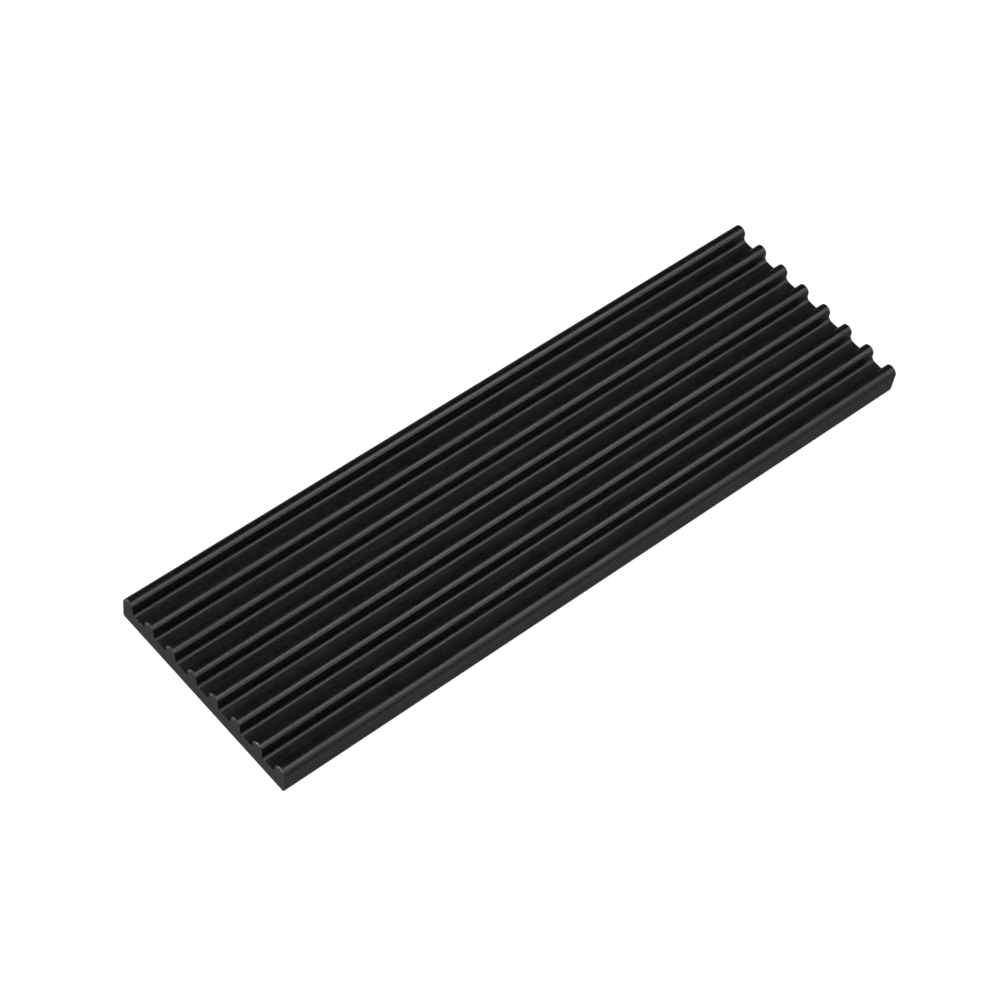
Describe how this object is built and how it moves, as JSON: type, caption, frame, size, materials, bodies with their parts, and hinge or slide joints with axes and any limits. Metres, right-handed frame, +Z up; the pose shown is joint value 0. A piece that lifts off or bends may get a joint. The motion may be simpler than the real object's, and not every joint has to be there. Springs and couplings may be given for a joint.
{
  "type": "ssd heatsink",
  "caption": "Thin flat finned heatsink plate with straight parallel ribs, laid on a stick-shaped solid-state drive to cool it.",
  "frame": {"origin": "middle of the flat underside that lies on the drive", "axes": "+X along the ribs and the plate's length, +Y across the ribs, +Z up from the flat underside to the rib tips"},
  "size_m": [0.0732, 0.022, 0.003],
  "materials": {
    "anodised_aluminium": "satin black anodised extrusion with straight die lines along the ribs and matte sawn ends"
  },
  "bodies": {
    "root": {"heatsink": "anodised_aluminium"}
  },
  "joints": []
}
